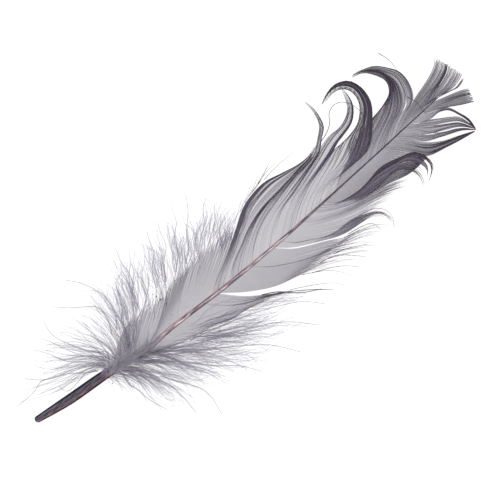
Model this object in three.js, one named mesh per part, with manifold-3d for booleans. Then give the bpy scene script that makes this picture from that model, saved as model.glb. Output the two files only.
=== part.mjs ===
// A goose quill feather lying on a surface, its tip cut and curled into hooks.
// It grew as one piece: a hollow-looking quill that tapers into the shaft, a
// vane of barbs that part into locks on both sides, and loose tufts of down
// round the foot of the vane.
//
// Millimetres. +X runs along the shaft from the quill's end to the tip, +Y is
// the side with the large hooks, and +Z is up. Outlines are written from the
// middle of the quill's end, and the finished feather is then moved so that
// the origin lies on the surface, under the middle of the feather.
import * as THREE from "three";
import { mergeVertices } from "three/addons/utils/BufferGeometryUtils.js";
import Module from "manifold-3d";

// Where the middle of the feather lies, from the middle of the quill's end.
const MIDDLE_X = 89.2;
const MIDDLE_Y = -5;
// Points nearer than this are one point.
const POINT_GAP = 1e-3;
// Corners that stand out less than this are taken off the joined skin.
const LEAST_DETAIL = 0.05;

// The shaft bows like an arch: it rests near both ends and is highest between.
const ARCH_TOP = 6.2;
const ARCH_DROP = 5.05;
const ARCH_MIDDLE_X = 86;

const SHAFT_SIDES = 8;
const SHAFT_STEPS = 24;
// The shaft's middle line seen from above, and its width there.
const SHAFT = [
  { x: 0, y: 0, width: 2.3 },
  { x: 6, y: -0.8, width: 3 },
  { x: 13, y: -1.5, width: 3.5 },
  { x: 24, y: -2.2, width: 3.4 },
  { x: 31, y: -2.85, width: 2.8 },
  { x: 38, y: -4, width: 2.1 },
  { x: 42, y: -4.5, width: 1.95 },
  { x: 54.5, y: -4, width: 1.6 },
  { x: 76.5, y: -4.5, width: 1.4 },
  { x: 101, y: -4, width: 1.1 },
  { x: 121, y: -2.9, width: 0.8 },
  { x: 143.5, y: -1.5, width: 0.6 },
  { x: 162.5, y: -0.2, width: 0.55 },
  { x: 173, y: 0.4, width: 0.5 },
];

// A lock is drawn in this many steps, and in one more for each point its edge
// has over this many.
const LOCK_STEPS = 8;
const LOCK_EDGE_POINTS = 6;
const LOCK_THICKNESS = 0.55;
const LOCK_LEAST_WIDTH = 0.6;
// How far each lock reaches over the next one on both sides.
const LOCK_OVERLAP = 0.3;
// How high the middle of a lock stands over its two edges, for its width.
const LOCK_CROWN = 0.06;
const FLAT = [0, 0, 0, 0];

// Each lock of the vane grows from a stretch of the shaft. It is given by its
// edge nearer the quill and its edge nearer the tip, both from the shaft
// outwards, and by its height over the surface at a quarter, a half, three
// quarters and the whole of its length. A lock that curls also leans there:
// its edge nearer the tip stands that much higher than its other edge.
const LEFT_LOCKS = [
  {
    grows: [30, 42.5],
    lower: [[33, -0.6], [36.5, 2], [42, 4.2], [48.2, 6.2]],
    upper: [[50, -1.3], [57, 3.2], [64, 8.7]],
    heights: [4.7, 4.4, 4, 3.4],
  },
  {
    grows: [42.5, 56.5],
    lower: [[50, -1], [57, 3.5], [64, 9]],
    upper: [[61.5, 1.2], [68, 5.5], [76.5, 9.5]],
    heights: [4.6, 4, 3.4, 2.8],
  },
  {
    grows: [56.5, 70.5],
    lower: [[61.5, 1.5], [68, 6], [77.5, 9.2]],
    upper: [[75, -1.3], [82, 2.4], [88.5, 6.4], [94.5, 11]],
    heights: [5.2, 4.5, 3.6, 3],
  },
  {
    grows: [70.5, 78],
    lower: [[75, -1], [82, 2.8], [89.5, 7.5], [97.5, 12.5], [106.5, 14.3], [113.5, 13.1],
      [119, 12], [124, 11.9], [128.3, 13.4]],
    upper: [[82.5, -0.8], [88, 2.2], [94.5, 5.6], [101.5, 7.8], [110, 8.9], [118.5, 10.2],
      [124, 11], [128.8, 12.9]],
    heights: [5.9, 4.8, 4.6, 5],
    lean: [0, -0.5, -1.5, -1.5],
  },
  {
    grows: [78, 87.5],
    lower: [[82.5, -0.4], [88, 2.6], [94.5, 6], [101.5, 8.2], [110, 9.3], [118.5, 10.6],
      [124.5, 11.6], [129, 13.4]],
    upper: [[92, 0], [98.5, 4], [106, 6.6], [115.5, 9], [123, 10.2], [129.5, 13.6]],
    heights: [5.3, 4.6, 5.2, 6.8],
    lean: [0, 0.5, 1.5, 2],
  },
  {
    grows: [87.5, 96],
    lower: [[92, 0.5], [98.5, 4.5], [106, 7], [115.5, 9.5], [125, 11], [130, 14.5], [133.5, 18],
      [134.5, 23.5], [133.5, 27]],
    upper: [[101, 0], [107, 3.6], [114, 5.6], [121.5, 8.1], [127.5, 10.3], [131, 13.5],
      [134.3, 16.5], [135.3, 22], [134.5, 26.5]],
    heights: [5.2, 5, 7.4, 10.5],
    lean: [0, 0.5, 3, 2],
  },
  {
    grows: [96, 105.5],
    lower: [[101.3, 0.3], [107, 4], [114, 6], [121, 8.5], [127, 10.9], [132.9, 12.8], [138, 12.9],
      [141.6, 14.2], [144.2, 16.4], [145.7, 20.3], [146.3, 22.3]],
    upper: [[111.3, 0.4], [118.5, 4], [127, 6.6], [131.5, 8], [134.5, 9.3], [137.4, 10],
      [141.9, 11.4], [145, 14.1], [146.5, 17.1], [146.8, 20.7], [146.6, 22.6]],
    heights: [5.3, 5, 7.2, 10.5],
    lean: [0, 0.5, 3, 2.5],
  },
  {
    grows: [105.5, 124],
    lower: [[111.3, 0.7], [118.5, 4.3], [127, 6.9], [132, 8.3], [136, 8.3], [141.7, 9.1],
      [145.8, 11.8], [148.1, 14.9], [148.6, 18.8], [147, 21.9], [143.5, 23], [139.6, 22.2]],
    upper: [[128.6, 0.1], [134.9, 0.4], [140, 0.8], [144, 3], [148, 7.4], [151.3, 12.3],
      [152.1, 16.8], [151.2, 20.9], [149.1, 23.6], [145.1, 24.9], [141, 24], [137.5, 22.2]],
    heights: [5.4, 6.2, 9.6, 13],
    lean: [0, 0.5, 4, 3],
  },
  {
    grows: [124, 148.5],
    lower: [[128.2, 0.3], [133.8, 2.9], [137.1, 5], [140.7, 6.6], [148.5, 8.5], [155.5, 9.5],
      [158.5, 12], [159.5, 15.5], [157.5, 19.5], [155, 22], [151, 23]],
    upper: [[151.8, 1.2], [155.7, 3.3], [159.2, 4.7], [161.3, 6.7], [162.9, 10.3], [163, 14.3],
      [161.2, 17.8], [159, 20.7], [156, 22.5], [152, 23.8]],
    heights: [3.8, 4.4, 8.2, 11.5],
    lean: [0, 0.5, 3, 3],
  },
  {
    grows: [148.5, 151.5],
    lower: [[152, 1.1], [156.2, 2.8], [159.6, 4.3], [161.6, 6.5], [162.9, 10.2], [163, 14.2],
      [161.2, 17.7], [159, 20.6], [156, 22.4], [152, 23.8]],
    upper: [[155, 1], [158.5, 2.5], [162.5, 4.5], [164.5, 7], [165.5, 11], [165, 15],
      [162.5, 18.5], [159.5, 21.5], [156.5, 22.7], [152.5, 24]],
    heights: [3.6, 4.6, 8.4, 11.7],
    lean: [0, 0.3, 1.5, 2],
  },
  {
    grows: [151.5, 168.5],
    lower: [[155, 1], [159.5, 3], [164, 5], [168.2, 6.3], [172.4, 7.8], [175.5, 9.5],
      [177.6, 11.6]],
    upper: [[170.5, 0.9], [173, 0.6], [177.6, 0.5], [181.2, 1.3]],
    heights: [2.4, 1.6, 0.9, 0.35],
  },
  {
    grows: [168.5, 170.5],
    lower: [[171.5, 0.5], [173.5, 0.3], [177, -0.4], [179.5, 0.1], [180.7, 0.5]],
    upper: [[172.5, -0.1], [174.5, -0.4], [177.4, -1.1], [179.9, -0.6], [181, 0]],
    heights: [1.6, 1.1, 0.7, 0.35],
  },
];
const RIGHT_LOCKS = [
  {
    grows: [30, 44.5],
    lower: [[34, -4.3], [38, -5.8], [42.1, -7.3]],
    upper: [[48.5, -7.6], [52.5, -9.6], [57.5, -11.3]],
    heights: [4.5, 4, 3.4, 2.8],
  },
  {
    grows: [44.5, 57.5],
    lower: [[48.5, -8], [52.5, -10], [57.5, -11.5]],
    upper: [[62.6, -9.6], [68.3, -13], [76, -14.6]],
    heights: [4.6, 3.8, 3, 2.6],
  },
  {
    grows: [57.5, 72.5],
    lower: [[63, -10], [69.5, -14], [78, -15], [84.5, -18.5], [92, -24]],
    upper: [[78.5, -10.5], [85.5, -15.3], [94, -20.5], [102.5, -26.5]],
    heights: [4.8, 3.4, 2.3, 1.6],
  },
  {
    grows: [72.5, 86.5],
    lower: [[80, -10], [88.5, -14.6], [97.5, -17], [103.5, -19], [112, -23], [118, -27]],
    upper: [[92, -8.7], [99.5, -12.7], [106, -15.1], [113, -17.1], [121.5, -21.5], [128, -27]],
    heights: [5, 3.7, 2.7, 2],
  },
  {
    grows: [86.5, 96],
    lower: [[92, -9], [99.5, -13], [106, -15.5], [113, -17.5], [122.5, -20.5], [128, -25]],
    upper: [[102, -9.2], [111.5, -13.6], [117.5, -16.7], [123, -17.7], [128.5, -19.5], [133, -24]],
    heights: [5.2, 4, 3, 2.5],
  },
  {
    grows: [96, 99.5],
    lower: [[102, -8.7], [110.5, -12.8], [115, -14.8], [119, -15.8], [124.9, -16.3],
      [128.8, -16.9], [131.2, -19.2], [131.6, -22], [131.3, -24.5]],
    upper: [[102.9, -7.3], [107.9, -10], [111.9, -12.1], [116.2, -13.1], [121.1, -13.1],
      [125.3, -14], [131, -16.7], [132.9, -20.5], [132, -25]],
    heights: [5.6, 5, 5, 7],
    lean: [0, 0, 1, 1.5],
  },
  {
    grows: [99.5, 113],
    lower: [[102.9, -7.7], [107.9, -10.4], [111.9, -12.5], [115, -14.2], [119, -15.2],
      [124.9, -15.9], [131, -16.6]],
    upper: [[119.5, -6.8], [127, -9.5], [133.5, -10.6], [142, -12.8], [148.5, -16]],
    heights: [4.8, 3.6, 2.8, 2.6],
  },
  {
    grows: [113, 118.5],
    lower: [[119.5, -7], [127, -9.8], [134.5, -10.9], [142, -10], [146.5, -11.5], [148.5, -15],
      [148, -18.5], [145.5, -21.5]],
    upper: [[122.6, -6.1], [128.7, -7.2], [133.5, -7], [140.6, -5.7], [147, -7], [152.5, -9],
      [154.5, -13.5], [153.5, -17], [148, -20.5]],
    heights: [5, 5, 6.4, 9],
    lean: [0, 0.5, 2.5, 2],
  },
  {
    grows: [118.5, 144.5],
    lower: [[122.6, -6.5], [128.5, -9.1], [134, -10.9], [139.8, -11.9], [147, -13.5], [155, -13]],
    upper: [[146, -3], [148.5, -4.5], [152, -9], [155, -12]],
    heights: [3.9, 3.1, 2.8, 2.9],
  },
  {
    grows: [144.5, 150],
    lower: [[146, -3], [148.5, -4.6], [152, -9], [155.2, -12.9], [161.4, -14.4], [166.6, -15.4],
      [172.4, -16.2]],
    upper: [[153.7, -4.2], [157, -8.4], [162.3, -11.6], [167.9, -13.8], [172.3, -15.8]],
    heights: [3, 2.4, 2.6, 4],
    lean: [0, 0, 0.5, 1],
  },
  {
    grows: [150, 157],
    lower: [[153.9, -4.4], [157.4, -7.8], [163.2, -9.9], [168.9, -12.8], [172.5, -15.7]],
    upper: [[159.5, -2.3], [162, -3], [165.4, -4.8], [169.4, -7.4], [171.6, -9.6], [172.9, -14.5]],
    heights: [2.8, 2.3, 3, 4.6],
    lean: [0, 0, 0.8, 1.2],
  },
  {
    grows: [157, 162.5],
    lower: [[160.7, -2.3], [164, -3.2], [167, -3.5], [170, -5.2], [171.8, -8.9], [172.7, -12.2],
      [172.5, -15.8]],
    upper: [[164, -1.6], [167, -2.7], [170.4, -4.2], [172.3, -8.3], [173.4, -11.8], [173, -16.1]],
    heights: [2.6, 2.2, 3.4, 5.2],
    lean: [0, 0, 1, 1.5],
  },
  {
    grows: [162.5, 168],
    lower: [[164, -1.5], [167, -2.6], [171, -4.5], [174.5, -6.3], [178.7, -8.3]],
    upper: [[169.5, -0.3], [173.9, -1.5], [176.9, -2.4], [179.9, -3.7]],
    heights: [1.6, 1.1, 0.7, 0.35],
  },
];

// Tufts of down, by side: how far out they reach, from the quill forwards, and
// the stretch of the shaft they grow from. They bow towards the tip.
const TUFT_STEPS = 5;
const TUFT_SIDES = 6;
const TUFT_WIDTH = 5;
const TUFT_DEPTH = 2.6;
const TUFT_ROOT = 0.3;
const TUFT_TIP = 0.2;
const TUFT_BOW = 0.12;
const DOWN = [
  {
    count: 16,
    rootFrom: 28,
    rootTo: 50,
    bow: -TUFT_BOW,
    reach: [[-2.5, 7.5], [7.5, 10.5], [25.5, 19.5], [55, 27.5], [77.5, 26.5], [95, 17]],
    heights: [0.35, 8, 12, 3],
  },
  {
    count: 14,
    rootFrom: 28,
    rootTo: 52,
    bow: TUFT_BOW,
    reach: [[36, -19], [47.5, -33], [67, -33], [81, -37.5], [93.5, -35.5], [98, -27]],
    heights: [0.35, 5, 9, 2],
  },
];

const wasm = await Module();
wasm.setup();

// The height of the shaft's middle line over the surface.
function archHeight(x) {
  const along = (x - ARCH_MIDDLE_X) / ARCH_MIDDLE_X;
  return ARCH_TOP - ARCH_DROP * along * along;
}

// A smooth line through points seen from above, each lifted by its own height.
function smoothLine(points) {
  return new THREE.CatmullRomCurve3(points.map(([x, y, z = 0]) => new THREE.Vector3(x, y, z)));
}

// A closed solid with its skin drawn over rings of equal, even numbers of
// points. Each end is closed by strips from one half of its ring to the other.
function loft(rings) {
  const sides = rings[0].length;
  const last = (rings.length - 1) * sides;
  const faces = [];
  for (let ring = 0; ring < last; ring += sides) {
    for (let side = 0; side < sides; side += 1) {
      const here = ring + side;
      const next = ring + ((side + 1) % sides);
      faces.push(here, next, next + sides, here, next + sides, here + sides);
    }
  }
  for (let side = 0; side + 1 < sides / 2; side += 1) {
    const facing = sides - 1 - side;
    faces.push(side, facing, side + 1, side + 1, facing, facing - 1);
    faces.push(last + side, last + side + 1, last + facing);
    faces.push(last + side + 1, last + facing - 1, last + facing);
  }
  const geometry = new THREE.BufferGeometry();
  const corners = rings.flat().flatMap((point) => point.toArray());
  geometry.setAttribute("position", new THREE.Float32BufferAttribute(corners, 3));
  geometry.setIndex(faces);
  const solid = toSolid(geometry);
  // Rings that run the other way make a solid turned inside out.
  return solid.volume() < 0 ? loft([...rings].reverse()) : solid;
}

function toSolid(geometry) {
  const merged = mergeVertices(geometry, POINT_GAP);
  const mesh = new wasm.Mesh({
    numProp: 3,
    vertProperties: merged.attributes.position.array,
    triVerts: new Uint32Array(merged.index.array),
  });
  return new wasm.Manifold(mesh);
}

function toGeometry(solid) {
  const skin = solid.getMesh();
  const geometry = new THREE.BufferGeometry();
  geometry.setAttribute("position", new THREE.BufferAttribute(skin.vertProperties, skin.numProp));
  geometry.setIndex(new THREE.BufferAttribute(skin.triVerts, 1));
  return geometry;
}

// A round rod along a line: rings stand square to it, as wide and as deep as
// sizeAt says.
function rod(line, steps, sides, sizeAt) {
  const rings = [];
  for (let step = 0; step <= steps; step += 1) {
    const t = step / steps;
    const middle = line.getPoint(t);
    const along = line.getTangent(t);
    const across = new THREE.Vector3(-along.y, along.x, 0).normalize();
    const up = new THREE.Vector3().crossVectors(along, across);
    const { width, depth } = sizeAt(t);
    const ring = [];
    for (let side = 0; side < sides; side += 1) {
      const angle = (2 * Math.PI * side) / sides;
      const point = middle.clone();
      point.addScaledVector(across, 0.5 * width * Math.cos(angle));
      point.addScaledVector(up, 0.5 * depth * Math.sin(angle));
      ring.push(point);
    }
    rings.push(ring);
  }
  return loft(rings);
}

const shaftLine = smoothLine(SHAFT.map(({ x, y }) => [x, y, archHeight(x)]));

function makeShaft() {
  const widths = smoothLine(SHAFT.map(({ width }, index) => [index, width]));
  return rod(shaftLine, SHAFT_STEPS, SHAFT_SIDES, (t) => {
    const width = widths.getPoint(t).y;
    return { width, depth: width };
  });
}

// One lock of the vane: a thin, slightly crowned strip between its two edges.
function makeLock({ grows, lower, upper, heights, lean = FLAT }) {
  const [lowerRoot, upperRoot] = grows.map((x) => pointAtX(shaftLine, x));
  const lowerEdge = smoothLine([[lowerRoot.x, lowerRoot.y], ...lower]);
  const upperEdge = smoothLine([[upperRoot.x, upperRoot.y], ...upper]);
  const rootHeight = (lowerRoot.z + upperRoot.z) / 2;
  const height = smoothLine([rootHeight, ...heights].map((z, index) => [index, z]));
  const turn = smoothLine([0, ...lean].map((z, index) => [index, z]));
  const steps = LOCK_STEPS + Math.max(0, lower.length - LOCK_EDGE_POINTS);
  const rings = [];
  for (let step = 0; step <= steps; step += 1) {
    const t = step / steps;
    const from = lowerEdge.getPointAt(t);
    const to = upperEdge.getPointAt(t);
    const middle = from.clone().add(to).multiplyScalar(0.5);
    const half = to.clone().sub(from).multiplyScalar(0.5);
    half.setLength(Math.max(half.length() + LOCK_OVERLAP, LOCK_LEAST_WIDTH / 2));
    const crown = 2 * half.length() * LOCK_CROWN;
    middle.z = height.getPoint(t).y;
    half.z = turn.getPoint(t).y / 2;
    const skin = (lift) => [[-1, 0], [0, crown], [1, 0]].map(([side, rise]) => {
      return stripPoint(middle, half, side, rise + lift);
    });
    const under = skin(-LOCK_THICKNESS / 2);
    const top = skin(LOCK_THICKNESS / 2);
    rings.push([...under, ...top.reverse()]);
  }
  return loft(rings);
}

function stripPoint(middle, half, side, lift) {
  const point = middle.clone().addScaledVector(half, side);
  point.z += lift;
  return point;
}

// The tufts of one side fan out from the shaft, the low ones under the vane.
function makeDown({ count, rootFrom, rootTo, bow, reach, heights }) {
  const outer = smoothLine(reach);
  const tufts = [];
  for (let index = 0; index < count; index += 1) {
    const share = index / (count - 1);
    const rootX = rootFrom + share * (rootTo - rootFrom);
    const root = pointAtX(shaftLine, rootX);
    const tip = outer.getPoint(share);
    tip.z = heights[index % heights.length];
    const run = tip.clone().sub(root);
    const middle = root.clone().addScaledVector(run, 0.5);
    middle.add(new THREE.Vector3(-run.y, run.x, 0).multiplyScalar(bow));
    const line = new THREE.QuadraticBezierCurve3(root, middle, tip);
    tufts.push(rod(line, TUFT_STEPS, TUFT_SIDES, (t) => {
      const swell = TUFT_ROOT + (1 - TUFT_ROOT) * Math.sin(Math.PI * t);
      const size = t < 0.5 ? swell : TUFT_TIP + (1 - TUFT_TIP) * Math.sin(Math.PI * t);
      return { width: TUFT_WIDTH * size, depth: TUFT_DEPTH * size };
    }));
  }
  return tufts;
}

function pointAtX(line, x) {
  let low = 0;
  let high = 1;
  for (let halving = 0; halving < 20; halving += 1) {
    const middle = (low + high) / 2;
    if (line.getPoint(middle).x < x) {
      low = middle;
    } else {
      high = middle;
    }
  }
  return line.getPoint(low);
}

const pieces = [
  makeShaft(),
  ...LEFT_LOCKS.map(makeLock),
  ...RIGHT_LOCKS.map(makeLock),
  ...DOWN.flatMap(makeDown),
];
const joined = pieces.reduce((whole, piece) => whole.add(piece)).simplify(LEAST_DETAIL);
// Two layers can shut a sliver of air between them. Only the outer skin is
// kept, so the feather is solid there.
const placed = toGeometry(joined).translate(-MIDDLE_X, -MIDDLE_Y, 0);
const outer = toSolid(placed).decompose().reduce((largest, body) => {
  return body.volume() > largest.volume() ? body : largest;
});
const geometry = toGeometry(outer);
geometry.computeVertexNormals();

const vaneGrey = new THREE.MeshStandardMaterial({ color: 0xbebbc2, roughness: 0.7, metalness: 0 });
const feather = new THREE.Mesh(geometry, vaneGrey);
feather.name = "feather";

const part = new THREE.Group();
part.add(feather);

export default part;
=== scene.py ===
import math

import bpy
import numpy as np
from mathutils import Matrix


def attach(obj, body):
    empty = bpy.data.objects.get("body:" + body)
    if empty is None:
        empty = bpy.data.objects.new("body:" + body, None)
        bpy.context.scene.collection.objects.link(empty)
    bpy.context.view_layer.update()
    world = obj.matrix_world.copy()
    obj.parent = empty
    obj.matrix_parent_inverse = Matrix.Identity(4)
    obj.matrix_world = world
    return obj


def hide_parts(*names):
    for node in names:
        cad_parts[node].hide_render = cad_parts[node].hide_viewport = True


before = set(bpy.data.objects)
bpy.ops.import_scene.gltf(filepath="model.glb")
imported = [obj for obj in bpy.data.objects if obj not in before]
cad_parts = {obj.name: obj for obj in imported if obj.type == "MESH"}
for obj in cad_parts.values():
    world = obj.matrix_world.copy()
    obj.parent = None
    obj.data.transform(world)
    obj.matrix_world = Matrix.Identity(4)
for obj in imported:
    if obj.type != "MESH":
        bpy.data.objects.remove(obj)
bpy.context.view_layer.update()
bpy.ops.object.select_all(action="DESELECT")


# ---- The surface, the light and the camera -------------------------------
# A wide pale table, lit softly from all round and a little more from the
# upper left. The camera looks straight down, with the quill at lower left.

MM = 0.001
FEATHER_TURN = math.radians(38.7)  # from the picture's right to the shaft
PICTURE_WIDTH = 0.165  # metres across at the feather's own height
PICTURE_MIDDLE = (0.0007, 0.0048, 0.004)
CAMERA_HEIGHT = 1.2
SENSOR_WIDTH = 36.0
TABLE_WIDTH = 8
TABLE_TOP = -0.0002  # just clear of the lowest hairs
TABLE_GREY = (0.3, 0.3, 0.3, 1)
TABLE_GLOW = 0.88
ROOM_LIGHT = 0.6
WHITE = (1, 1, 1, 1)

bpy.ops.mesh.primitive_plane_add(size=TABLE_WIDTH, location=(0, 0, TABLE_TOP))
table = bpy.context.object
table.name = "table"
table_paint = bpy.data.materials.new("table_white")
table_paint.use_nodes = True
table_shader = table_paint.node_tree.nodes["Principled BSDF"]
table_shader.inputs["Base Color"].default_value = TABLE_GREY
table_shader.inputs["Roughness"].default_value = 0.9
table_shader.inputs["Emission Color"].default_value = WHITE
table_shader.inputs["Emission Strength"].default_value = TABLE_GLOW
table.data.materials.append(table_paint)

room = bpy.data.worlds.new("room")
room.use_nodes = True
room.node_tree.nodes["Background"].inputs["Color"].default_value = WHITE
room.node_tree.nodes["Background"].inputs["Strength"].default_value = ROOM_LIGHT
bpy.context.scene.world = room
bpy.context.scene.view_settings.view_transform = "Standard"

LAMPS = [
    {"name": "key", "place": (-0.5, 0.5, 0.9), "size": 0.6, "power": 4.5},
    {"name": "fill", "place": (0.7, -0.3, 0.8), "size": 0.9, "power": 1.5},
]
for lamp in LAMPS:
    bpy.ops.object.light_add(type="AREA", location=lamp["place"])
    light = bpy.context.object
    light.name = lamp["name"]
    light.data.size = lamp["size"]
    light.data.energy = lamp["power"]
    toward = -light.location
    light.rotation_euler = toward.to_track_quat("-Z", "Y").to_euler()

bpy.ops.object.camera_add()
camera = bpy.context.object
camera.location = (PICTURE_MIDDLE[0], PICTURE_MIDDLE[1], CAMERA_HEIGHT)
camera.rotation_euler = (0, 0, -FEATHER_TURN)
camera.data.sensor_width = SENSOR_WIDTH
camera.data.lens = SENSOR_WIDTH * (CAMERA_HEIGHT - PICTURE_MIDDLE[2]) / PICTURE_WIDTH
bpy.context.scene.camera = camera


# ---- Quill and shaft ------------------------------------------------------
# One round, tapering horn rod that bows like an arch. It is bare at the quill,
# and the vane grows from the rest. Drawn out ring by ring from the quill's end.

# Outlines are in millimetres from the middle of the quill's end.
MIDDLE = np.array([89.2, -5.0, 0.0])  # where the frame's origin lies
ARCH_TOP = 6.2
ARCH_DROP = 5.05
ARCH_MIDDLE_X = 86
SHAFT_LINE = [(0, 0), (13, -1.5), (28, -2.5), (42, -4.5), (54.5, -4), (76.5, -4.5), (101, -4),
              (121, -2.9), (143.5, -1.5), (162.5, -0.2), (173, 0.4)]
SHAFT_WIDTH = [(0, 2.3), (6, 3.0), (13, 3.5), (24, 3.4), (31, 2.8), (38, 2.1), (54.5, 1.6), (76.5, 1.4),
               (101, 1.1), (121, 0.7), (143.5, 0.48), (162.5, 0.36), (173, 0.22)]
SHAFT_SIDES = 20
SHAFT_STEP = 3.0
SHAFT_SAMPLES = 400
SPAN_STEPS = 24  # from one given point of a smooth line to the next
QUILL_END = [(-0.85, 0.32), (-0.7, 0.6), (-0.4, 0.85)]  # its rounding: places, shares of the radius


def smooth_line(points, count):
    """Points spaced evenly along a smooth line through the given ones."""
    given = np.array(points, dtype=float)
    before = 2 * given[0] - given[1]
    after = 2 * given[-1] - given[-2]
    knots = np.vstack([before, given, after])
    t = np.linspace(0, 1, SPAN_STEPS, endpoint=False)[:, None]
    fine = []
    for a, b, c, d in zip(knots, knots[1:], knots[2:], knots[3:]):
        bend = (2 * a - 5 * b + 4 * c - d) * t**2 + (3 * b - a - 3 * c + d) * t**3
        fine.append(b + 0.5 * ((c - a) * t + bend))
    fine = np.vstack([*fine, given[-1:]])
    steps = np.linalg.norm(np.diff(fine, axis=0), axis=1)
    length = np.concatenate([[0], np.cumsum(steps)])
    even = np.linspace(0, length[-1], count)
    return np.column_stack([np.interp(even, length, column) for column in fine.T])


SHAFT_POINTS = smooth_line(SHAFT_LINE, SHAFT_SAMPLES)
WIDTH_POINTS = smooth_line(SHAFT_WIDTH, SHAFT_SAMPLES)


def arch_height(x):
    return ARCH_TOP - ARCH_DROP * ((x - ARCH_MIDDLE_X) / ARCH_MIDDLE_X) ** 2


def shaft_at(x):
    """The shaft's middle line at each x, as x, y and height."""
    x = np.asarray(x, dtype=float)
    y = np.interp(x, SHAFT_POINTS[:, 0], SHAFT_POINTS[:, 1])
    return np.stack([x, y, arch_height(x)], axis=-1)


def shaft_width(x):
    return np.interp(x, WIDTH_POINTS[:, 0], WIDTH_POINTS[:, 1])


def in_metres(points):
    return (np.asarray(points) - MIDDLE) * MM


stations = np.arange(0, SHAFT_LINE[-1][0] + 0.1, SHAFT_STEP)
centres = in_metres(shaft_at(stations))
radii = 0.5 * MM * shaft_width(stations)
end_centres = [centres[0] + np.array([place * MM, 0, 0]) for place, share in QUILL_END]
end_radii = [radii[0] * share for place, share in QUILL_END]
centres = np.vstack([end_centres, centres])
radii = np.concatenate([end_radii, radii])
bpy.ops.mesh.primitive_circle_add(
    vertices=SHAFT_SIDES, radius=radii[0], fill_type="NGON", location=centres[0],
    rotation=(0, math.pi / 2, 0))
shaft = bpy.context.object
shaft.name = "quill_and_shaft"
bpy.ops.object.transform_apply(location=True, rotation=True, scale=True)
bpy.ops.object.mode_set(mode="EDIT")
bpy.ops.mesh.select_all(action="SELECT")
for index in range(1, len(centres)):
    bpy.ops.mesh.extrude_region_move(
        TRANSFORM_OT_translate={"value": tuple(centres[index] - centres[index - 1])})
    growth = radii[index] / radii[index - 1]
    bpy.ops.transform.resize(value=(1, growth, growth), center_override=tuple(centres[index]))
bpy.ops.mesh.select_all(action="SELECT")
bpy.ops.mesh.normals_make_consistent(inside=False)
bpy.ops.object.mode_set(mode="OBJECT")
bpy.ops.object.shade_smooth()


def new_material(name, roughness):
    """A material with its shader, ready for its own nodes."""
    material = bpy.data.materials.new(name)
    material.use_nodes = True
    nodes = material.node_tree.nodes
    shader = nodes["Principled BSDF"]
    shader.inputs["Roughness"].default_value = roughness
    return material, nodes, material.node_tree.links, shader


def point_value(nodes, title):
    """The number that a mesh keeps on its points under a title."""
    node = nodes.new("ShaderNodeAttribute")
    node.attribute_name = title
    return node.outputs["Fac"]


def ranged(nodes, links, source, given, wanted=(0, 1)):
    """A value taken from its given range to the wanted one."""
    node = nodes.new("ShaderNodeMapRange")
    node.inputs["From Min"].default_value = given[0]
    node.inputs["From Max"].default_value = given[1]
    node.inputs["To Min"].default_value = wanted[0]
    node.inputs["To Max"].default_value = wanted[1]
    links.new(source, node.inputs["Value"])
    return node.outputs[0]


def coloured(nodes, links, source, colours):
    """A value turned to a colour, by pairs of place and colour."""
    node = nodes.new("ShaderNodeValToRGB")
    while len(node.color_ramp.elements) < len(colours):
        node.color_ramp.elements.new(0.5)
    for element, (position, colour) in zip(node.color_ramp.elements, colours):
        element.position = position
        element.color = (*colour, 1)
    links.new(source, node.inputs["Fac"])
    return node.outputs[0]


# How far each point lies to the left or right of the shaft's own middle.
corners = np.empty(len(shaft.data.vertices) * 3, dtype=np.float32)
shaft.data.vertices.foreach_get("co", corners)
corners = corners.reshape(-1, 3) / MM + MIDDLE
offsets = corners[:, 1] - np.interp(corners[:, 0], SHAFT_POINTS[:, 0], SHAFT_POINTS[:, 1])
across = offsets / (0.5 * shaft_width(corners[:, 0]))
layer = shaft.data.attributes.new("across", "FLOAT", "POINT")
layer.data.foreach_set("value", (0.5 + 0.5 * across).astype(np.float32))

# From the right rim to the left, for the quill, the shaft and its tip. The near-black
# rims of the quill and the dark right rim of the shaft are painted shade, where the
# round rod turns away from the light.
QUILL_COLOURS_AND_RIM_SHADE = [(0.0, (0.004, 0.002, 0.003)), (0.1, (0.012, 0.006, 0.01)),
                 (0.18, (0.19, 0.12, 0.135)), (0.4, (0.16, 0.115, 0.14)),
                 (0.5, (0.07, 0.062, 0.085)), (0.75, (0.12, 0.115, 0.155)),
                 (0.84, (0.05, 0.046, 0.065)), (0.89, (0.006, 0.005, 0.008)),
                 (1.0, (0.003, 0.002, 0.004))]
SHAFT_COLOURS_AND_RIM_SHADE = [(0.0, (0.08, 0.035, 0.05)), (0.12, (0.2, 0.12, 0.14)), (0.24, (0.62, 0.53, 0.56)),
                 (0.55, (0.58, 0.48, 0.5)), (0.65, (0.24, 0.14, 0.16)), (0.78, (0.45, 0.32, 0.34)),
                 (0.9, (0.3, 0.19, 0.21)), (1.0, (0.35, 0.25, 0.27))]
TIP_COLOURS = [(0.0, (0.006, 0.002, 0.005)), (0.85, (0.012, 0.004, 0.008)), (1.0, (0.05, 0.02, 0.03))]
SHAFT_BEGINS = (0.15, 0.2)  # shares of the length over which the colours change
TIP_BEGINS = (0.56, 0.86)
STREAK_SCALE = (320, 2200, 2200)  # drawn out along the shaft
STREAK_NOISE = (0.33, 0.67)
STREAK_STRENGTH = (0.35, 1.7)

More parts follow.
